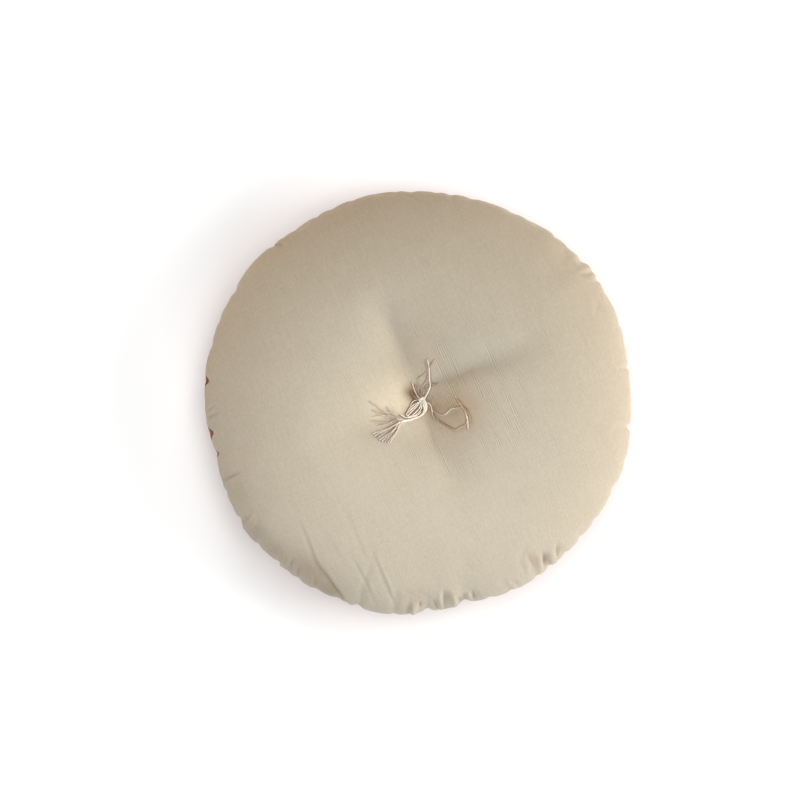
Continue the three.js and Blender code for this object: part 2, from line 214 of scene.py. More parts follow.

# Soft patches of painted shade: angle in degrees, mm in from the rim, half-widths round and along
# the radius in mm, and how much the painted shade darkens. Those far in from the rim lie by the tuft
PAINTED_SHADE_PATCHES = table(("at", "inside", "wide", "long", "painted_shade"), [
    (238.0, 13, 25, 12, 0.44),
    (226.0, 8, 12, 7, 0.32),
    (219.0, 9, 12, 8, 0.32),
    (245.5, 5, 14, 6, 0.4),
    (278.8, 13, 3.6, 6.5, 0.32),
    (267.6, 6, 2.6, 6, 0.34),
    (309.3, 9, 4, 7, 0.25),
    (304.9, 20, 3, 8, 0.16),
    (134.0, 189.6, 5.2, 8.4, 0.8),
    (246.0, 190.0, 9, 9, 0.35),
    (-12, 161, 24, 22, 0.46),
    (-25, 185, 10, 11, 0.5),
    (88, 138, 22, 34, 0.17),
    (269, 19, 14, 9, 0.16),
    (208, 12, 16, 9, 0.17),
    (31, 8, 12, 8, 0.13),
    (128, 2, 60, 6, 0.14),
])

# Where the brown back stands out past the cream face in a pucker, in degrees and mm
PEEKS = table(("at", "width", "out"), [
    (174.6, 1.3, 4.0),
    (188.7, 1.4, 4.4),
    (194.8, 1.0, 2.6),
])


def turn(start, end):
    """Shortest turn from one angle to another in degrees, with its sign."""
    return (end - start + 180.0) % 360.0 - 180.0


def bump(distance, half_width):
    """A smooth bump of height 1, down to a third at its half-width."""
    return np.exp(-((distance / half_width) ** 2))


def seam_lift(angle, fraction):
    """How much higher the seam lies on one side, fading towards the middle."""
    return SEAM_TILT * np.cos(np.radians(angle - SEAM_HIGH_SIDE)) * fraction ** 2


def rim_relief(angle, from_seam):
    """How far the cloth stands out from the plain side."""
    roll = from_seam / BULGE_FROM_SEAM * np.exp(1.0 - from_seam / BULGE_FROM_SEAM)
    relief = BULGE * roll
    low_down = bump(from_seam, LOBE_REACH)
    for lobe in LOBES:
        relief += lobe["rise"] * bump(turn(lobe["at"], angle), lobe["width"]) * low_down
    for pucker in PUCKERS:
        across = bump(turn(pucker["at"], angle), pucker["width"] * PUCKER_SHARPNESS)
        along = bump(from_seam, pucker["reach"])
        relief -= across * along * (pucker["depth"] + BULGE * roll * PUCKERED_SHARE)
    return relief


def valley_depth(x, y):
    """Depth of the soft valleys at points of the face."""
    depth = np.zeros_like(x)
    for valley in VALLEYS:
        heading = math.radians(valley["heading"])
        dx = x - valley["x"]
        dy = y - valley["y"]
        along = dx * math.cos(heading) + dy * math.sin(heading)
        aside = dy * math.cos(heading) - dx * math.sin(heading)
        share = np.clip(along / valley["length"], 0.0, 1.0)
        fade = np.sin(np.pi * share ** 0.6)
        depth += valley["depth"] * fade * bump(aside, valley["width"] * (0.7 + 0.6 * share))
    return depth


def rim_point(angle, inside):
    """A point of the plan, at an angle and a distance inside the rim."""
    radius = RIM_RADIUS - inside
    return radius * math.cos(math.radians(angle)), radius * math.sin(math.radians(angle))


def creases(x, y):
    """Height and painted shade of the sharp creases: a steep wall, a gentle one and a soft ridge."""
    height = np.zeros_like(x)
    painted_shade = np.zeros_like(x)
    for crease in CREASES:
        x0, y0 = rim_point(crease["at0"], crease["in0"])
        x1, y1 = rim_point(crease["at1"], crease["in1"])
        length = math.hypot(x1 - x0, y1 - y0)
        along = ((x - x0) * (x1 - x0) + (y - y0) * (y1 - y0)) / length ** 2
        aside = ((y - y0) * (x1 - x0) - (x - x0) * (y1 - y0)) / length * crease["side"]
        width = crease["width"]
        share = np.clip(along, 0.0, 1.0)
        beyond = np.maximum(np.abs(along - 0.5) - 0.5, 0.0) * length
        # Deepest at about two thirds of its length
        fade = np.sin(np.pi * (0.02 + 0.96 * share) ** 1.4 * 0.92) * bump(beyond, CREASE["ends"])
        wall = CREASE["reach"] * np.where(aside > 0.0, width * crease["gentle"], width)
        trough = np.clip(1.0 - np.abs(aside) / wall, 0.0, 1.0) ** CREASE["sharpness"]
        ridge = bump(aside + CREASE["ridge_away"] * width, CREASE["ridge_width"] * width)
        height += crease["depth"] * fade * (CREASE["ridge"] * ridge - trough)
        # Painted shade: darkest a little to one side of a crease's bottom, or on a flank of a ridge
        darkest = width * CREASE["dark_trough" if crease["depth"] > 0.0 else "dark_ridge"]
        painted_shade += crease["painted_shade"] * fade * bump(aside - darkest, CREASE["dark_width"] * width)
    return height, painted_shade


def funnel_depth(x, y):
    """Depth of the drawn-in middle of the face."""
    share = np.hypot(x - FUNNEL["x"], y - FUNNEL["y"]) / FUNNEL["radius"]
    from_pit = np.hypot(x - PIT["x"], y - PIT["y"])
    pit = PIT["depth"] * bump(from_pit, PIT["radius"])
    return FUNNEL["depth"] * np.exp(-(share ** FUNNEL["power"])) + pit


def side_profile(fraction):
    """Height of the plain side at a share of the radius: 1 in the middle, 0 at the seam."""
    return np.sqrt(np.maximum(1.0 - fraction ** SIDE_FULLNESS, 0.0))


def pushed_out(angle, fraction, height, rise, folds=0.0):
    """Radius and height of the plain side pushed out along its own slope by its relief."""
    outward = SIDE_FULLNESS / RIM_RADIUS * fraction ** (SIDE_FULLNESS - 1.0)
    upward = 2.0 * rise / FACE_RISE ** 2
    length = np.hypot(outward, upward)
    radius = RIM_RADIUS * fraction
    relief = rim_relief(angle, np.hypot(RIM_RADIUS - radius, rise)) + folds
    return radius + outward / length * relief, height + upward / length * relief


def placed(angle, radius, height):
    """Points at an angle in degrees, a distance from the middle and a height."""
    turned = np.radians(angle)
    return np.stack([radius * np.cos(turned), radius * np.sin(turned), height], axis=-1)


def face_points(angle, fraction):
    """Points of the cream face, in mm round the middle of the cushion."""
    plan = placed(angle, RIM_RADIUS * fraction, fraction)
    x, y = plan[..., 0], plan[..., 1]
    rise = FACE_RISE * side_profile(fraction)
    height = SEAM_HEIGHT + seam_lift(angle, fraction) + rise - funnel_depth(x, y)
    height -= valley_depth(x, y) * (1.0 - fraction ** 10)
    return placed(angle, *pushed_out(angle, fraction, height, rise, creases(x, y)[0]))


def painted_face_shade(angle, fraction):
    """How much painted shade darkens the face, in the patches and the creases, 0 to 1."""
    plan = placed(angle, RIM_RADIUS * fraction, fraction)
    x, y = plan[..., 0], plan[..., 1]
    painted_shade = creases(x, y)[1]
    for shade_patch in PAINTED_SHADE_PATCHES:
        turned = math.radians(shade_patch["at"])
        outward = x * math.cos(turned) + y * math.sin(turned) - (RIM_RADIUS - shade_patch["inside"])
        aside = y * math.cos(turned) - x * math.sin(turned)
        painted_shade += shade_patch["painted_shade"] * bump(outward, shade_patch["long"]) * bump(aside, shade_patch["wide"])
    return np.clip(painted_shade, 0.0, 1.0)


def back_points(angle, fraction):
    """Points of the brown back, flattened by the floor and drawn in by its stitch."""
    drop = BACK_DROP * side_profile(fraction)
    radius, sunk = pushed_out(angle, fraction, np.zeros_like(fraction), drop)
    from_seam = np.hypot(RIM_RADIUS * (1.0 - fraction), drop)
    under_seam = bump(from_seam - 4.0, 7.0)
    for peek in PEEKS:
        radius = radius + peek["out"] * bump(turn(peek["at"], angle), peek["width"]) * under_seam
    seam = SEAM_HEIGHT + seam_lift(angle, fraction)
    in_dimple = np.minimum(RIM_RADIUS * fraction / BACK_DIMPLE["radius"], 1.0)
    dimple = BACK_DIMPLE["depth"] * (1.0 - in_dimple ** 2) ** 2
    return placed(angle, radius, np.maximum(seam - drop - sunk, 0.0) + dimple)


class Profile:
    """Length along the cloth from the middle to the seam, and back to a fraction of the radius."""

    def __init__(self, rise):
        share = np.sin(np.linspace(0.0, np.pi / 2, 2000))
        height = rise * side_profile(share)
        step = np.hypot(np.diff(share * RIM_RADIUS), np.diff(height))
        self.share = share
        self.length = np.concatenate([[0.0], np.cumsum(step)])

    def fraction(self, along):
        """Fraction of the radius at a share, 0 to 1, of the whole length."""
        return np.interp(along * self.length[-1], self.length, self.share)


def disc_grid(count):
    """A square grid bent into a disc: angle in degrees and share of the radius of its points."""
    line = np.linspace(-1.0, 1.0, count + 1)
    a, b = np.meshgrid(line, line, indexing="ij")
    wide = np.abs(a) > np.abs(b)
    radius = np.where(wide, a, b)
    safe_a = np.where(a == 0.0, 1.0, a)
    safe_b = np.where(b == 0.0, 1.0, b)
    angle = np.where(wide, np.pi / 4 * b / safe_a, np.pi / 2 - np.pi / 4 * a / safe_b)
    angle = np.where(radius < 0.0, angle + np.pi, angle)
    share = np.abs(radius)
    return np.degrees(angle) + GRID_TURN, share * (1.0 + RIM_FOCUS * (1.0 - share))


def grid_faces(count, flipped):
    """Corner numbers of a grid's squares."""
    first = (np.arange(count)[:, None] * (count + 1) + np.arange(count)).reshape(-1)
    corners = np.stack([first, first + count + 1, first + count + 2, first + 1], axis=1)
    return corners[:, ::-1] if flipped else corners


def grid_edge(count):
    """Point numbers round the edge of a grid, once round counter-clockwise."""
    number = np.arange((count + 1) ** 2).reshape(count + 1, count + 1)
    return np.concatenate([number[:-1, 0], number[-1, :-1], number[:0:-1, -1], number[0, :0:-1]])


def new_mesh(name, points, faces, smooth=True):
    """An object from points in mm."""
    mesh = bpy.data.meshes.new(name)
    mesh.from_pydata((np.asarray(points) * MM).tolist(), [], [list(face) for face in faces])
    mesh.update()
    mesh.polygons.foreach_set("use_smooth", [smooth] * len(mesh.polygons))
    piece = bpy.data.objects.new(name, mesh)
    bpy.context.scene.collection.objects.link(piece)
    return piece


def middle_of_outline(points):
    """Middle of the box round points, in plan."""
    return (points[:, :2].max(axis=0) + points[:, :2].min(axis=0)) / 2


def cloth_side(points_at, rise, count):
    """Grid of one side of the cushion: its points, and where each lies on the flat cloth."""
    angle, share = disc_grid(count)
    profile = Profile(rise)
    fraction = profile.fraction(share)
    points = points_at(angle, fraction).reshape(-1, 3)
    flat = placed(angle, share * profile.length[-1], np.zeros_like(share)).reshape(-1, 3)
    return points, flat


def painted_shade_of_grid(rise, count):
    """The face's painted shade at the points of its grid."""
    angle, share = disc_grid(count)
    return painted_face_shade(angle, Profile(rise).fraction(share)).reshape(-1)


def once_round(count):
    """Each number of a ring with the next one."""
    return [(i, (i + 1) % count) for i in range(count)]


def closed_body(name, points, flat, flipped, inside_at, painted_shade=None):
    """A side of the cushion closed by a plain inside that nothing shows.

    The side is a square grid. Flipped faces look down."""
    count = math.isqrt(len(points)) - 1
    edge = grid_edge(count)
    rim = points[edge]
    towards = -rim[:, :2] / np.linalg.norm(rim[:, :2], axis=1)[:, None]
    lip_rise = -LIP_RISE if flipped else LIP_RISE
    tucked = rim + np.column_stack([towards * LIP, np.full(len(rim), lip_rise)])
    angles = np.arange(INSIDE_COUNT) * 360.0 / INSIDE_COUNT
    rings = [inside_at(angles, np.full(INSIDE_COUNT, fraction)) for fraction in INSIDE_RINGS]
    middle = inside_at(np.zeros(1), np.zeros(1))
    faces = grid_faces(count, flipped).tolist()

    def add(face):
        faces.append(face[::-1] if flipped else face)

    total = len(points)
    tuck = np.arange(len(edge)) + total
    total += len(edge)
    laid_rings = []
    for ring in rings:
        laid_rings.append(np.arange(len(ring)) + total)
        total += len(ring)
    start = np.degrees(np.arctan2(tucked[:, 1], tucked[:, 0])) % 360.0
    nearest = np.round(start / (360.0 / INSIDE_COUNT)).astype(int) % INSIDE_COUNT
    for i, j in once_round(len(edge)):
        a, b, c, d = edge[i], edge[j], tuck[j], tuck[i]
        faces.append([a, b, c, d] if flipped else [a, d, c, b])
    for i, j in once_round(len(edge)):
        a, b = laid_rings[0][nearest[i]], laid_rings[0][nearest[j]]
        add([tuck[i], a, tuck[j]] if a == b else [tuck[i], a, b, tuck[j]])
    for outer, inner in zip(laid_rings, laid_rings[1:]):
        for i, j in once_round(INSIDE_COUNT):
            add([outer[i], inner[i], inner[j], outer[j]])
    for i, j in once_round(INSIDE_COUNT):
        add([laid_rings[-1][i], total, laid_rings[-1][j]])
    hidden = [ring * (1, 1, 0) for ring in (*rings, middle)]
    piece = new_mesh(name, np.concatenate([points, tucked, *rings, middle]), faces)
    cloth = np.concatenate([flat, flat[edge], *hidden])
    places = piece.data.attributes.new("cloth", "FLOAT_VECTOR", "POINT")
    places.data.foreach_set("vector", (cloth * MM).reshape(-1))
    # Painted shade of each point, for the material to darken its colour; 0 where none is given
    painted_shades = np.zeros(len(cloth))
    if painted_shade is not None:
        painted_shades[:len(painted_shade)] = painted_shade
    piece.data.attributes.new("painted_shade", "FLOAT", "POINT").data.foreach_set("value", painted_shades)
    return piece


def inside_of_back(angle, fraction):
    """The filling's hidden side, well inside the back."""
    points = back_points(angle, fraction)
    points[..., :2] *= 1.0 - CLOTH_INSET * 1.6 / RIM_RADIUS
    points[..., 2] += CLOTH_INSET
    return points


def inside_of_back_cloth(angle, fraction):
    """The hidden face of the back cloth."""
    points = back_points(angle, fraction)
    points[..., :2] *= 1.0 - CLOTH_INSET * 0.7 / RIM_RADIUS
    points[..., 2] += CLOTH_INSET * 0.45
    return points


# Settling of the cloth: the simulation's own settings. Its negative shrinkage is how much too
# large the cloth is
CLOTH_SETTINGS = {
    "quality": 5, "mass": 0.2, "tension_stiffness": 12.0, "compression_stiffness": 12.0,
    "shear_stiffness": 4.8, "bending_stiffness": 0.12, "shrink_min": -0.022,
    "use_pressure": True, "uniform_pressure_force": 1.2, "vertex_group_mass": "held",
}
# Its grid and frames, how often the swelling is averaged before it is taken off, the most that a
# point moves in mm, and in mm and degrees where the cloth is held and where the wrinkles fade in
SETTLE = {
    "grid": 120, "frames": 20, "smoothing": 9, "cap": 1.8, "held_middle": 45.0,
    "held_floor": 0.2, "fade_in": 45.0, "corner_width": 13.0,
}


def smoothed(field, times):
    """A grid of vectors averaged with its neighbours so many times."""
    for _ in range(times):
        padded = np.pad(field, ((1, 1), (1, 1), (0, 0)), mode="edge")
        around = padded[:-2, 1:-1] + padded[2:, 1:-1] + padded[1:-1, :-2] + padded[1:-1, 2:]
        field = field * 0.5 + around * 0.125
    return field


def settled(points_at, rise, inside_at, flipped):
    """Fine wrinkles that one side gets when it is sewn and filled: how far each point moves.

    The cloth is a little too large for its shape and is held at the seam and the tuft. The
    filling presses it out. The broad swelling is taken off again, so the form stays."""
    count = SETTLE["grid"]
    points, flat = cloth_side(points_at, rise, count)
    from_middle = np.linalg.norm(flat, axis=1)
    body = closed_body("settling", points, flat, flipped, inside_at)
    held = body.vertex_groups.new(name="held")
    held.add(list(range(len(points), len(body.data.vertices))), 1.0, "REPLACE")
    held.add(grid_edge(count).tolist(), 1.0, "REPLACE")
    held.add(np.flatnonzero(from_middle < SETTLE["held_middle"]).tolist(), 1.0, "REPLACE")
    if flipped:
        held.add(np.flatnonzero(points[:, 2] < SETTLE["held_floor"]).tolist(), 1.0, "REPLACE")
    cloth = body.modifiers.new("cloth", "CLOTH")
    for key, value in CLOTH_SETTINGS.items():
        setattr(cloth.settings, key, value)
    cloth.settings.effector_weights.gravity = 0.0
    cloth.collision_settings.use_collision = False
    cloth.point_cache.frame_start = 1
    cloth.point_cache.frame_end = SETTLE["frames"]
    for frame_number in range(1, SETTLE["frames"] + 1):
        bpy.context.scene.frame_set(frame_number)
    mesh = body.evaluated_get(bpy.context.evaluated_depsgraph_get()).to_mesh()
    moved = np.empty(len(mesh.vertices) * 3)
    mesh.vertices.foreach_get("co", moved)
    moved = moved.reshape(-1, 3)[:len(points)] / MM
    bpy.data.objects.remove(body)
    bpy.context.scene.frame_set(1)
    shift = (moved - points).reshape(count + 1, count + 1, 3)
    fine = shift - smoothed(shift, SETTLE["smoothing"])
    angle, share = disc_grid(count)
    outside = (from_middle.reshape(share.shape) - SETTLE["held_middle"]) / SETTLE["fade_in"]
    at_corner = bump(turn(45.0, (angle - GRID_TURN) % 90.0), SETTLE["corner_width"]) * share ** 2
    fine = fine * (np.clip(outside, 0.0, 1.0) ** 2 * share ** 2 * (1.0 - at_corner))[..., None]
    length = np.linalg.norm(fine, axis=2, keepdims=True)
    return fine * np.minimum(1.0, SETTLE["cap"] / np.maximum(length, 1e-6))


def spread_over(field, count):
    """A grid of vectors laid evenly over a finer grid."""
    old = np.linspace(0.0, 1.0, len(field))
    new = np.linspace(0.0, 1.0, count + 1)
    for _ in range(2):
        lines = [np.interp(new, old, line) for line in field.reshape(len(old), -1).T]
        field = np.stack(lines, axis=1).reshape(count + 1, -1, 3).transpose(1, 0, 2)
    return field


# Materials

class Shading:
    """A material whose nodes are added one by one. An input takes a value or an output."""

    def __init__(self, name):
        self.material = bpy.data.materials.new(name)
        self.material.use_nodes = True
        self.nodes = self.material.node_tree.nodes
        self.shader = self.nodes["Principled BSDF"]

    def feed(self, socket, value):
        if isinstance(value, bpy.types.NodeSocket):
            self.material.node_tree.links.new(value, socket)
        else:
            socket.default_value = value

    def add(self, kind, inputs, output=0, **settings):
        """A node of a kind; gives the output that is wanted."""
        node = self.nodes.new("ShaderNode" + kind)
        for name, value in settings.items():
            setattr(node, name, value)
        for key, value in inputs.items():
            self.feed(node.inputs[key], value)
        return node.outputs[output]

    def attribute(self, name, output="Fac"):
        return self.add("Attribute", {}, output, attribute_name=name)

    def maths(self, operation, a, b):
        return self.add("Math", {0: a, 1: b}, operation=operation)

    def plus(self, first, *others):
        for other in others:
            first = self.maths("ADD", first, other)
        return first

    def times(self, a, b):
        return self.maths("MULTIPLY", a, b)

    def sine(self, a):
        return self.add("Math", {0: a}, operation="SINE")

    def distance(self, place, middle):
        return self.add("VectorMath", {0: place, 1: middle}, "Value", operation="DISTANCE")

    def ranged(self, value, start, end, low=0.0, high=1.0):
        """A value carried from the range start to end over to low to high."""
        return self.add("MapRange", {"Value": value, "From Min": start, "From Max": end,
                                     "To Min": low, "To Max": high})

    def blend(self, factor, a, b):
        """A mix of two colours."""
        return self.add("Mix", {"Factor": factor, "A": a, "B": b}, "Result", data_type="RGBA")

    def ramp(self, value, start, dark, end, light):
        """A colour ramp from dark at start to light at end."""
        colours = self.add("ValToRGB", {0: value})
        for element, place, colour in zip(colours.node.color_ramp.elements, (start, end), (dark, light)):
            element.position = place
            element.color = (*colour, 1.0)
        return colours

    def grains(self, place, along, across, detail, seed):
        """Noise whose grains are long one way: how many there are in a metre, both ways."""
        laid = self.add("Mapping", {"Vector": place, "Scale": (along, across, 1.0),
                                    "Location": (seed, seed * 1.7, seed * 0.3)})
        return self.add("TexNoise", {"Vector": laid, "Scale": 1.0, "Detail": detail})

    def raised(self, height, strength, distance):
        """Relief without moving the surface."""
        return self.add("Bump", {"Strength": strength, "Distance": distance, "Height": height})

    def finished(self, inputs):
        """The material, once its shader's own inputs are set."""
        for name, value in inputs.items():
            self.feed(self.shader.inputs[name], value)
        return self.material


# Plain weave: width of a yarn in mm, the height of a crossing against the relief of uneven yarns,
# and how far the yarns sway, in radians of the weave
YARN = 0.85
CROSSING = 0.22
WEAVE_SWAY = 2.4
# Uneven yarns and patches: grains in a metre along the warp and across it, how finely they are
# broken up, a number to tell them apart, and their share of the tone
UNEVEN = table(("along", "across", "detail", "seed", "share"), [
    (60.0, 760.0, 1.0, 3.1, 0.13),
    (26.0, 1100.0, 1.0, 7.7, 0.13),
    (760.0, 70.0, 1.0, 12.3, 0.05),
    (1100.0, 40.0, 1.0, 17.9, 0.07),
    (34.0, 28.0, 3.0, 23.0, 0.1),
    (430.0, 640.0, 1.0, 41.0, 0.3),
])
# Groups of thick yarns: width in mm, share of the tone and of the relief. They are clearest near
# a place right of the tuft and hardly show on the wall left of it, both in metres on the cloth
CORD_PITCH = 1.9
CORD_TONE = 0.4
CORD_RELIEF = 0.9
CORD_MIDDLE = (0.034, 0.006, 0.0)
BARE_WALL = (-0.028, 0.0, 0.0)


def slub_cloth(name, dark, light, painted_shade_far, painted_shade_brown, warp_heading):
    """Matt plain weave with long uneven yarns both ways, on the flat cloth's own places, with painted
    shade.
    """
    cloth = Shading(name)
    place = cloth.attribute("cloth", "Vector")
    turned = (0.0, 0.0, math.radians(-warp_heading))
    grain = cloth.add("Mapping", {"Vector": place, "Rotation": turned})
    apart = cloth.add("SeparateXYZ", {0: grain}).node.outputs
    layers = [cloth.times(cloth.grains(grain, row["along"], row["across"], row["detail"], row["seed"]),
                          row["share"]) for row in UNEVEN]
    tone = cloth.plus(*layers)

    # Groups of thick yarns stand out side by side where the tuft draws the cloth tight
    grouped = cloth.ranged(cloth.grains(grain, 27.0, 95.0, 1.0, 31.0), 0.5, 0.62)
    tight = cloth.ranged(cloth.distance(place, CORD_MIDDLE), 0.036, 0.09, 1.0, 0.17)
    off_wall = cloth.ranged(cloth.distance(place, BARE_WALL), 0.016, 0.036, 0.12)
    sway = cloth.times(cloth.grains(grain, 30.0, 160.0, 1.0, 53.0), 9.0)
    side_by_side = cloth.times(apart["Y"], 2.0 * math.pi / (CORD_PITCH * MM))
    breaks = cloth.plus(cloth.times(cloth.grains(grain, 520.0, 420.0, 0.0, 67.0), 1.6), 0.2)
    cords = cloth.times(cloth.sine(cloth.plus(side_by_side, sway)), breaks)
    cords = cloth.times(cloth.times(cloth.times(grouped, tight), cords), off_wall)
    weave = cloth.ramp(cloth.plus(tone, cloth.times(cords, CORD_TONE)), 0.09, dark, 0.69, light)

    # Painted shade in the folds and patches, turning to a brown painted shade near the tuft and in the pit
    # under it
    painted_shade_mix = cloth.blend(tight, (*painted_shade_far, 1.0), (*painted_shade_brown, 1.0))
    colour = cloth.blend(cloth.attribute("painted_shade"), weave, painted_shade_mix)

    # The weave itself: yarns over and under each other, a little uneven
    jitter = cloth.add("TexNoise", {"Vector": grain, "Scale": 160.0, "Detail": 2.0})
    shift = cloth.times(jitter, WEAVE_SWAY)
    lengthwise, crosswise = [
        cloth.sine(cloth.plus(cloth.times(apart[axis], math.pi / (YARN * MM)), shift)) for axis in "XY"]
    over_under = cloth.times(cloth.times(lengthwise, crosswise), CROSSING)
    relief = cloth.plus(over_under, tone, cloth.times(cords, CORD_RELIEF))
    return cloth.finished({
        "Base Color": colour, "Normal": cloth.raised(relief, 0.45, 0.0005), "Roughness": 0.92,
        "Specular IOR Level": 0.2, "Sheen Weight": 0.25, "Sheen Roughness": 0.6})


def thread_material():
    """Soft twisted cotton thread, each from brown to cream by its own tone, the brown partly painted shade.
    """
    thread = Shading("cream_thread")
    place = thread.add("TexCoord", {}, "Object")
    fuzz = thread.add("TexNoise", {"Vector": place, "Scale": 900.0, "Detail": 3.0})
    cream = thread.ramp(fuzz, 0.3, (0.72, 0.6, 0.46), 0.55, (0.96, 0.9, 0.82))
    colour = thread.blend(thread.attribute("tone"), (0.38, 0.225, 0.1, 1.0), cream)
    return thread.finished({
        "Base Color": colour, "Normal": thread.raised(fuzz, 0.4, 0.0002), "Roughness": 0.75,
        "Sheen Weight": 0.2})


# Threads

def smooth_route(corners, step):
    """A smooth line through corners, with a point every step (a Catmull-Rom spline)."""
    corners = np.asarray(corners, dtype=float)
    padded = np.concatenate([2 * corners[:1] - corners[1:2], corners, 2 * corners[-1:] - corners[-2:-1]])
    line = []
    for p0, p1, p2, p3 in zip(padded, padded[1:], padded[2:], padded[3:]):
        for t in np.linspace(0.0, 1.0, 24, endpoint=False):
            line.append(0.5 * (2 * p1 + (p2 - p0) * t + (2 * p0 - 5 * p1 + 4 * p2 - p3) * t ** 2
                               + (3 * p1 - p0 - 3 * p2 + p3) * t ** 3))
    line.append(corners[-1])
    line = np.array(line)
    length = np.concatenate([[0.0], np.cumsum(np.linalg.norm(np.diff(line, axis=0), axis=1))])
    marks = np.linspace(0.0, length[-1], max(int(length[-1] / step), 3) + 1)
    return np.column_stack([np.interp(marks, length, line[:, axis]) for axis in range(line.shape[1])])


def frames_along(line):
    """Two directions square to a line at each of its points, without twist."""
    ahead = np.gradient(line, axis=0)
    ahead /= np.linalg.norm(ahead, axis=1)[:, None]
    side = np.cross(ahead[0], (0.0, 0.0, 1.0))
    if np.linalg.norm(side) < 1e-6:
        side = np.array((1.0, 0.0, 0.0))
    sides = []
    for direction in ahead:
        side = side - direction * np.dot(side, direction)
        side = side / np.linalg.norm(side)
        sides.append(side)
    sides = np.array(sides)
    return sides, np.cross(ahead, sides)


class Threads:
    """Many tubes gathered into one mesh."""

    def __init__(self):
        self.points = []
        self.faces = []
        self.tones = []
        self.total = 0

    def tube(self, line, radius, tone, sides=5):
        """A closed tube along a line; radius is one number or one for each point."""
        side, up = frames_along(line)
        radius = np.broadcast_to(radius, len(line))
        count = len(line)
        for k, following in once_round(sides):
            angle = 2.0 * math.pi * k / sides
            self.points.append(line + (side * math.cos(angle) + up * math.sin(angle)) * radius[:, None])
            a = self.total + k * count
            b = self.total + following * count
            self.faces += [[a + i, a + i + 1, b + i + 1, b + i] for i in range(count - 1)]
        self.faces.append([self.total + k * count for k in range(sides)])
        self.faces.append([self.total + k * count + count - 1 for k in reversed(range(sides))])
        tone = np.atleast_1d(tone)
        along = np.interp(np.linspace(0.0, len(tone) - 1.0, count), np.arange(len(tone)), tone)
        self.tones.append(np.tile(along, sides))
        self.total += sides * count

    def twisted(self, line, width, phase, tone=1.0):
        """Two plies laid round each other along a line."""
        side, up = frames_along(line)
        length = np.concatenate([[0.0], np.cumsum(np.linalg.norm(np.diff(line, axis=0), axis=1))])
        for half in (0.0, math.pi):
            angle = phase + half + 2.0 * math.pi * length / THREAD_PITCH
            offset = side * np.cos(angle)[:, None] + up * np.sin(angle)[:, None]
            taper = np.clip((length[-1] - length) / 1.2 + 0.45, 0.0, 1.0)
            self.tube(line + offset * width * 0.24, width * 0.3 * taper, tone)

    def build(self, name):
        piece = new_mesh(name, np.concatenate(self.points), self.faces)
        tones = piece.data.attributes.new("tone", "FLOAT", "POINT")
        tones.data.foreach_set("value", np.concatenate(self.tones))
        return piece


# Thread: its width, the step of its route, the length of one turn of its two plies, and how far
# from each thread a second one lies beside it, all in mm. The second one lies lower and to the left
# and is mostly brown: partly a brown thread, partly painted shade on the thread's shaded side
THREAD_WIDTH = 1.2
THREAD_STEP = 0.45
THREAD_PITCH = 2.4
BESIDE = (-0.9, -0.25, -0.9)

# The fans, the free threads, the trunk, the loops and the stem: each route is in plan with its
# height above the face, in mm round the middle of the cushion. The tips of the fans are in plan
LOWER_FAN_ROOT = (-14.5, -18.6)
LOWER_FAN_TIPS = [(-42.7, -30.8), (-40.5, -32.2), (-38.2, -34.6), (-36.3, -36.6), (-33.8, -37.6),
                  (-31.0, -38.4), (-28.6, -38.9), (-26.6, -39.2)]
UPPER_FAN_ROOT = (-13.5, -18.2)
UPPER_FAN_TIPS = [(-45.6, -0.2), (-43.2, -8.5), (-42.0, -15.0), (-44.0, -19.2), (-37.0, -22.8),
                  (-34.8, -11.0), (-29.5, -5.2)]


def fan_routes(root, tips, bend, lift):
    """Routes from a root to tips, bent a little to one side, each second one higher."""
    routes = []
    for i, tip in enumerate(tips):
        root_point = np.array(root) + (0.0, 0.5 * (i % 3 - 1))
        along = np.array(tip) - root_point
        aside = np.array((-along[1], along[0])) / np.linalg.norm(along)
        half = root_point + along * 0.5 + aside * bend * math.sin(2.1 * i + 0.7)
        near = root_point + along * 0.22 + aside * bend * 0.4 * math.cos(1.3 * i)
        rise = lift * (0.5 + 0.5 * (i % 2)) + 0.6 * (i % 3)
        routes.append([(*root_point, 1.6), (*near, rise + 0.8), (*half, rise), (*tip, 0.4 + 0.5 * (i % 3))])
    return routes


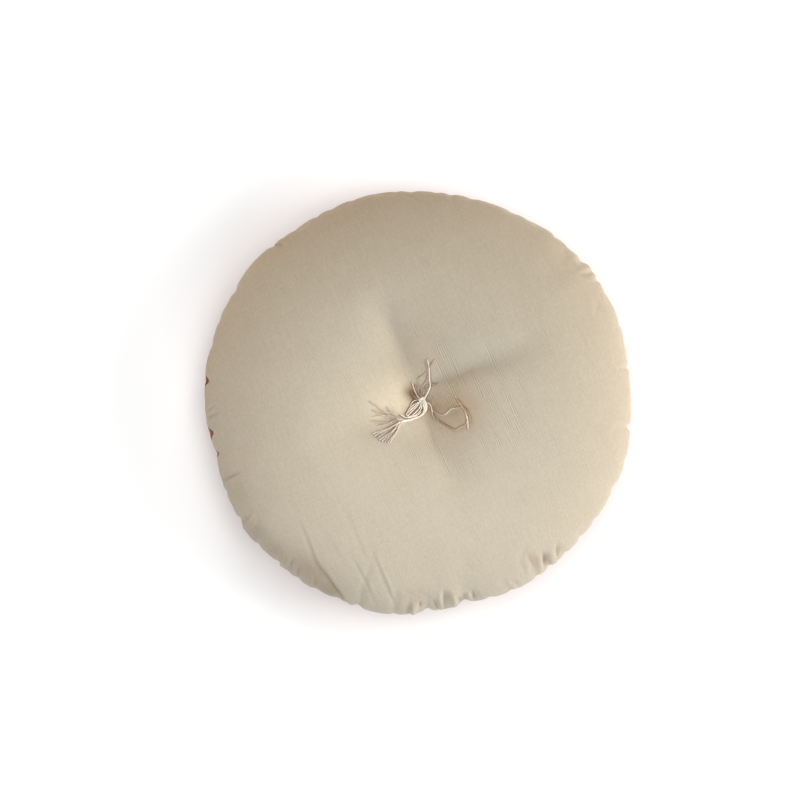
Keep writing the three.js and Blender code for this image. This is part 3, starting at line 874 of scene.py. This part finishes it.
LOOSE_ROUTES = [
    [(4, -0.5, 2.5), (11, -3.5, 3), (12.9, -9.2, 2), (13.4, -13.5, 1.2), (16.3, -17.9, 1),
     (22, -20.7, 1.2), (27.7, -24.3, 1.4), (33.6, -27.2, 1), (38.4, -25, 1.2), (43.6, -22.2, 1.2),
     (45.4, -17, 2.2), (43.2, -10, 3.5), (38.4, -1.9, 2.4), (34.9, 3.0, 0.8)],
    [(4, -0.5, 2), (9.8, -3.4, 1.6), (12.0, -8.6, 0.8), (14.6, -14, 0.6), (18.6, -18.9, 0.6),
     (25, -22.2, 0.8), (31, -26.2, 0.6), (36.0, -27.4, 0.4)],
    [(4, 0, 2), (12, -7.5, 0.4), (19.4, -12.8, 0.6), (24.9, -12.8, 1.6), (27.7, -10.6, 2.4),
     (30.6, -7.8, 3.4), (34.2, -7.0, 2.6), (40.3, -6.4, 2.4), (44.6, -9.0, 2.2), (47.5, -14.5, 1.8),
     (49, -20, 1), (49.6, -25.4, 0.4)],
    [(5, 1, 3), (6.2, 3, 4), (9.8, 9.4, 4.5), (11.2, 13.8, 4), (10.5, 20.3, 3), (10.2, 28.2, 3),
     (9.8, 33.2, 2.4), (8.4, 38.5, 1.6)],
    [(1.5, 2.5, 2), (-0.3, 19.5, 2), (3.3, 23.1, 1.6), (7.6, 27.4, 2), (11.2, 31.8, 3.4),
     (15.1, 38.5, 2)],
    [(3, 2.5, 2), (3.3, 11.7, 1.6), (7.6, 18.1, 1.2), (9.0, 23.9, 1.4), (8.4, 29, 1.4),
     (6.9, 38.5, 0.5)],
    [(4.5, 3, 2), (5.5, 12.4, 2), (12.7, 15.2, 1.5), (19.2, 16, 0.5)],
    [(4.5, 3, 1.6), (6.5, 11, 1.2), (12.5, 13.4, 0.8), (17.4, 14.9, 0.4)],
    [(34.4, 4.0, 0.3), (37.0, -0.2, 1.4), (42.9, -9.6, 3.2), (45.6, -17.9, 2.4), (46.0, -26.4, 0.6)],
]

TRUNK_ROUTE = [(4.5, 0.5, 3.6), (6.4, -3.4, 3.2), (6.7, -8.5, 2.2), (3.2, -13.4, 1.6),
               (-2.2, -16.0, 1.4), (-9.0, -18.0, 1.4), (-15.5, -19.2, 1.4)]
TRUNK_THREADS = 9
TRUNK_SPREAD = 1.5

LOOP_ROUTES = [
    [(2, 0, 4), (-3, -5, 3.4), (-8.5, -9.6, 2.4), (-11, -12.5, 1.2), (-9, -14.6, 0.8),
     (-4, -14.6, 0.8), (2, -12, 1)],
    [(2, -1, 4), (-1, -5, 3.6), (-5.5, -9.5, 2.6), (-9.6, -14.2, 1.2), (-7.4, -15.9, 1),
     (-2, -14.6, 1), (3, -10, 1.6)],
    [(3, -1.5, 4), (1.5, -6, 3.4), (-2, -10.5, 2.6), (-7, -14.6, 1.6), (-12, -15.6, 1.2),
     (-17, -13, 0.8)],
    [(3.4, -1.5, 3.6), (3, -6.5, 3), (0.5, -11, 2.4), (-4, -14, 1.6), (-10, -16.4, 1.2)],
    [(2.6, -0.5, 3), (-1.6, -2.4, 2.8), (-5.6, -4.8, 2), (-9.4, -9, 1), (-10.6, -12, 0.4)],
    [(1.6, 0.6, 3), (-2, 0.6, 2.2), (-5.6, -1.4, 1), (-7.6, -5.6, 0.4)],
]

STEM_ROUTES = [
    [(-5.6, 16.8, 0.6), (-4.4, 12.6, 1.8), (-2.4, 7.6, 2.8), (0.2, 3.2, 3.4), (3.0, 1.4, 3.4)],
    [(-3.0, 15.6, 0.4), (-2.2, 11.4, 1.2), (-0.2, 7.0, 2.0), (2.2, 3.6, 2.6), (3.8, 1.6, 3.0)],
    [(-0.8, 12.8, 0.4), (0.4, 8.6, 1.2), (2.4, 4.8, 2.2), (4.0, 2.4, 2.8)],
    [(-7.0, 7.6, 1.2), (-4.6, 5.0, 2.2), (-1.6, 2.6, 3.0), (1.6, 1.0, 3.2)],
]

# Looks of the threads of each group in turn: width against the usual, tone along the thread
# from brown 0 to cream 1, and the tone of the thread that lies beside it. The brown is partly the
# threads' own colour and partly painted shade where they lie in shadow
THREAD_LOOKS = {name: table(("width", "tone", "beside"), rows) for name, rows in {
    "loose": [
        (0.95, (0.9, 0.9, 0.2, 0.3, 0.5, 0.2, 0.3), 0.0),
        (0.75, (0.2, 0.3, 0.3), 0.05),
        (0.85, (0.5, 0.45, 0.45, 1.0, 0.5, 0.25, 0.3, 0.3), 0.25),
        (1.2, 1.0, 0.2),
        (0.75, 0.35, 0.35),
        (1.0, 0.5, 0.15),
        (0.65, 0.4, 0.3),
        (0.65, 0.2, 0.3),
        (1.05, 1.0, 0.0),
    ],
    "loop": [(0.9, 1.0, 0.0), (0.8, 1.0, 0.1)],
    "stem": [(1.1, 1.0, 0.0), (1.1, 0.25, 0.0), (1.1, 0.5, 0.2), (0.8, 0.3, 0.0)],
    "lower": [(0.8, 1.0, 0.0), (0.75, 1.0, 0.15), (0.75, 0.4, 0.1)],
    "upper": [(0.6, 0.55, 0.5), (0.55, 0.4, 0.4), (0.55, 0.75, 0.5)],
    "trunk": [(1.0, 1.0, 1.0), (0.95, 1.0, 0.2), (0.95, 1.0, 0.8)],
}.items()}

# The knot: its middle, radius and height above the face in mm, turns of thread and points in each
KNOT = {"x": 3.6, "y": 0.4, "radius": 2.7, "above": 1.6, "wraps": 5, "points": 34}

# The stitch on the back: headings of its bars in degrees, half their length and how far apart the
# threads of a bar lie in mm
STITCH = {"headings": (20.0, 110.0), "reach": 8.0, "apart": 0.9}


def surface_finder(piece):
    """Gives the height of a piece's top in mm at a point of the plan."""
    piece.data.calc_loop_triangles()
    points = [vertex.co.copy() for vertex in piece.data.vertices]
    triangles = [tuple(triangle.vertices) for triangle in piece.data.loop_triangles]
    tree = BVHTree.FromPolygons(points, triangles)

    def height(x, y):
        hit = tree.ray_cast(Vector((x * MM, y * MM, 0.3)), Vector((0.0, 0.0, -1.0)))
        return hit[0].z / MM if hit[0] else 0.0

    return height


def laid(route, height_at, shift):
    """A route laid on the face: x, y and the height above it, in mm, as a fine line in space."""
    line = smooth_route(route, THREAD_STEP)
    x = line[:, 0] + shift[0]
    y = line[:, 1] + shift[1]
    ground = np.array([height_at(a, b) for a, b in zip(x, y)])
    return np.column_stack([x, y, ground + THREAD_WIDTH * 0.6 + line[:, 2]])


def tuft(height_at, shift):
    """The tuft on the face: stem, knot, loops, trunk and free ends of twisted thread."""
    threads = Threads()
    trunk = []
    for i in range(TRUNK_THREADS):
        angle = 2.0 * math.pi * i / TRUNK_THREADS
        spread = TRUNK_SPREAD * (0.35 if i % 3 == 0 else 1.0)
        trunk.append([(x + spread * math.cos(angle), y + spread * math.cos(angle) * 0.6,
                       z + 1.0 + spread * 0.8 * math.sin(angle)) for x, y, z in TRUNK_ROUTE])
    groups = {
        "loose": LOOSE_ROUTES,
        "loop": LOOP_ROUTES,
        "stem": STEM_ROUTES,
        "lower": fan_routes(LOWER_FAN_ROOT, LOWER_FAN_TIPS, 1.2, 1.2),
        "upper": fan_routes(UPPER_FAN_ROOT, UPPER_FAN_TIPS, 2.6, 3.0),
        "trunk": trunk,
    }
    laying = [(THREAD_LOOKS[name][i % len(THREAD_LOOKS[name])], route)
              for name, routes in groups.items() for i, route in enumerate(routes)]
    for i, (row, route) in enumerate(laying):
        line = laid(route, height_at, shift)
        width = THREAD_WIDTH * row["width"]
        threads.twisted(line, width, 1.9 * i, row["tone"])
        # The thread beside it, mostly brown, is partly a brown thread and partly painted shade on the
        # shaded side
        beside = line + BESIDE
        on_face = [height_at(x, y) + THREAD_WIDTH * 0.5 for x, y in beside[:, :2]]
        beside[:, 2] = np.maximum(beside[:, 2], on_face)
        threads.twisted(beside, width * 0.8, 1.1 * i, row["beside"])
    knot_middle = np.array([KNOT["x"] + shift[0], KNOT["y"] + shift[1], 0.0])
    knot_middle[2] = height_at(*knot_middle[:2]) + KNOT["radius"] + KNOT["above"]
    around = np.linspace(0.0, 2.0 * math.pi, KNOT["points"])
    for i in range(KNOT["wraps"]):
        tilt = math.radians(60 + 22 * math.sin(2.3 * i))
        turned = math.radians(-35 + 26 * i)
        radius = KNOT["radius"] * (1.0 + 0.12 * math.sin(1.7 * i))
        along, across = np.cos(around), np.sin(around) * math.cos(tilt)
        x = along * math.cos(turned) - across * math.sin(turned)
        y = along * math.sin(turned) + across * math.cos(turned)
        z = np.sin(around) * math.sin(tilt) * 0.85
        threads.twisted(knot_middle + radius * np.column_stack([x, y, z]), THREAD_WIDTH, 0.7 * i)
    return threads.build("tuft_threads")


def back_stitch(shift):
    """Crossed bars of the same thread in the dimple of the back, three threads in each."""
    threads = Threads()
    along = np.linspace(-STITCH["reach"], STITCH["reach"], 40)
    for bar, heading in enumerate(np.radians(STITCH["headings"])):
        for k in (-1, 0, 1):
            aside = STITCH["apart"] * k
            x = along * math.cos(heading) - aside * math.sin(heading)
            y = along * math.sin(heading) + aside * math.cos(heading)
            z = back_points(np.degrees(np.arctan2(y, x)), np.hypot(x, y) / RIM_RADIUS)[:, 2]
            # The second bar lies over the first, and the ends of both go up into the cloth
            z = z - 0.9 - 0.5 * bar * bump(along, 3.0) - 0.3 * (k == 0)
            z = z + 2.2 * bump(np.abs(along) - STITCH["reach"] - 0.6, 1.2)
            threads.twisted(np.column_stack([x + shift[0], y + shift[1], z]), THREAD_WIDTH, k)
    return threads.build("back_stitch")


# The scene

# The two cloths: colours of the dark and light yarns, of the painted shade in folds, far from the
# tuft and in the pit under it, where it is brown, and the heading of the warp in degrees
CREAM = {
    "dark": (0.44, 0.375, 0.28), "light": (0.66, 0.59, 0.47), "painted_shade_far": (0.25, 0.185, 0.12),
    "painted_shade_brown": (0.36, 0.21, 0.1), "warp_heading": 113.5,
}
RUST = {
    "dark": (0.25, 0.092, 0.032), "light": (0.48, 0.2, 0.08), "painted_shade_far": (0.1, 0.03, 0.01),
    "painted_shade_brown": (0.1, 0.03, 0.01), "warp_heading": 20.0,
}


def build():
    """Every piece of the cushion, riding on the frame."""
    face, face_flat = cloth_side(face_points, FACE_RISE, GRID)
    back, back_flat = cloth_side(back_points, BACK_DROP, GRID)
    face_wrinkles = settled(face_points, FACE_RISE, inside_of_back, False)
    back_wrinkles = settled(back_points, BACK_DROP, inside_of_back_cloth, True)
    face += spread_over(face_wrinkles, GRID).reshape(-1, 3)
    back += spread_over(back_wrinkles, GRID).reshape(-1, 3)
    back[:, 2] = np.maximum(back[:, 2], 0.0)
    shift = -middle_of_outline(np.concatenate([face, back]))
    offset = np.array([shift[0], shift[1], 0.0])
    cushion = closed_body("cushion_face", face + offset, face_flat, False,
                          lambda a, f: inside_of_back(a, f) + offset, painted_shade_of_grid(FACE_RISE, GRID))
    panel = closed_body("back_cloth", back + offset, back_flat, True,
                        lambda a, f: inside_of_back_cloth(a, f) + offset)
    cushion.data.materials.append(slub_cloth("cream_linen", **CREAM))
    panel.data.materials.append(slub_cloth("rust_linen", **RUST))
    tassel = tuft(surface_finder(cushion), shift)
    stitch = back_stitch(shift)
    thread = thread_material()
    tassel.data.materials.append(thread)
    stitch.data.materials.append(thread)

    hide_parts("cushion")
    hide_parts("back_panel")
    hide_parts("tuft_tassel")
    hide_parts("tuft_back_stitch")
    for piece in (cushion, panel, tassel, stitch):
        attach(piece, "root")
    return [cushion, panel, tassel, stitch]


# Half the width of the ground
FLOOR_REACH = 6000.0


def floor():
    """A plain white ground."""
    corners = [(x * FLOOR_REACH, y * FLOOR_REACH, 0.0) for x, y in ((-1, -1), (1, -1), (1, 1), (-1, 1))]
    ground = new_mesh("floor", corners, [(0, 1, 2, 3)], smooth=False)
    ground.data.materials.append(Shading("floor_white").finished({
        "Base Color": (0.93, 0.93, 0.93, 1.0), "Roughness": 0.9, "Specular IOR Level": 0.1}))
    return ground


# Soft lights round the cushion: where they stand in degrees and metres, their size in metres,
# their power in watts, their colour, and what they light. All are square but the one on the
# middle, a narrow spot whose aim in metres and half-width there in mm follow
LIGHTS = table(("name", "azimuth", "elevation", "distance", "size", "power", "colour", "lights"), [
    ("key", 0, 14, 1.3, 0.8, 16.7, (1.0, 0.91, 0.82), "cushion"),
    ("far_side", 90, 14, 1.3, 0.8, 2.2, (1.0, 0.7, 0.35), "cushion"),
    ("fill", 135, 8, 1.3, 0.6, 5.8, (1.0, 0.81, 0.64), "cushion"),
    ("near_left", -120, 65, 0.6, 0.5, 1.55, (1.0, 0.74, 0.56), "cushion"),
    ("near", -90, 72, 0.55, 0.5, 2.35, (0.67, 0.87, 1.0), "cushion"),
    ("middle", 8, 36, 1.3, 0.02, 45.0, (1.0, 0.94, 0.86), "cushion"),
    ("floor_key", 0, 22, 1.3, 0.8, 14.9, (1.0, 1.0, 1.0), "floor"),
    ("floor_low_side", -90, 22, 1.3, 0.8, 11.9, (1.0, 1.0, 1.0), "floor"),
    ("floor_high_side", 90, 45, 1.3, 0.8, 8.7, (1.0, 1.0, 1.0), "floor"),
    ("floor_left", 180, 35, 1.3, 0.8, 3.5, (1.0, 1.0, 1.0), "floor"),
    ("floor_over", 0, 89, 1.3, 1.0, 7.5, (1.0, 1.0, 1.0), "floor"),
])
LIGHTS_AIM = Vector((0.0, 0.0, 0.04))
MIDDLE_AIM = Vector((-0.024, -0.004, 0.05))
MIDDLE_SPREAD = 34.0
WORLD_STRENGTH = 0.01


def receivers(name, pieces):
    """A collection that holds the only pieces that some lights reach."""
    group = bpy.data.collections.new(name)
    for piece in pieces:
        group.objects.link(piece)
    return group


def lights(cushion_pieces, ground):
    """Soft studio light: a key from the right, and what keeps the ground white."""
    world = bpy.data.worlds.new("world")
    bpy.context.scene.world = world
    world.use_nodes = True
    background = world.node_tree.nodes["Background"]
    background.inputs["Color"].default_value = (1.0, 1.0, 1.0, 1.0)
    background.inputs["Strength"].default_value = WORLD_STRENGTH
    reach = {"cushion": receivers("lit_cushion", cushion_pieces), "floor": receivers("lit_floor", [ground])}
    for row in LIGHTS:
        if row["name"] == "middle":
            data = bpy.data.lights.new(row["name"], "SPOT")
            data.spot_size = 2.0 * math.atan(MIDDLE_SPREAD * MM / row["distance"])
            data.spot_blend = 1.0
            data.shadow_soft_size = row["size"]
        else:
            data = bpy.data.lights.new(row["name"], "AREA")
            data.shape = "SQUARE"
            data.size = row["size"]
        data.energy = row["power"]
        data.color = row["colour"]
        light = bpy.data.objects.new(row["name"], data)
        azimuth = math.radians(row["azimuth"])
        elevation = math.radians(row["elevation"])
        level = math.cos(elevation)
        towards = Vector((math.cos(azimuth) * level, math.sin(azimuth) * level, math.sin(elevation)))
        aim = MIDDLE_AIM if row["name"] == "middle" else LIGHTS_AIM
        light.location = aim + towards * row["distance"]
        light.rotation_euler = towards.to_track_quat("Z", "Y").to_euler()
        bpy.context.scene.collection.objects.link(light)
        light.light_linking.receiver_collection = reach[row["lights"]]
    bpy.context.scene.view_settings.view_transform = "Standard"


# The camera: its height and the height at which the photograph's scale holds, in metres, and
# its sensor in mm
CAMERA = {"height": 2.6, "scale_height": 0.045, "sensor": 36.0}


def camera():
    """Straight down from above the middle of the photograph."""
    data = bpy.data.cameras.new("camera")
    data.sensor_width = CAMERA["sensor"]
    data.sensor_height = CAMERA["sensor"]
    data.sensor_fit = "HORIZONTAL"
    seen = IMAGE_SIZE * PIXEL * MM
    data.lens = CAMERA["sensor"] * (CAMERA["height"] - CAMERA["scale_height"]) / seen
    view = bpy.data.objects.new("camera", data)
    x = (IMAGE_SIZE / 2 - CUSHION_PIXEL[0]) * PIXEL * MM
    y = (CUSHION_PIXEL[1] - IMAGE_SIZE / 2) * PIXEL * MM
    view.location = (x, y, CAMERA["height"])
    bpy.context.scene.collection.objects.link(view)
    bpy.context.scene.camera = view


lights(build(), floor())
camera()
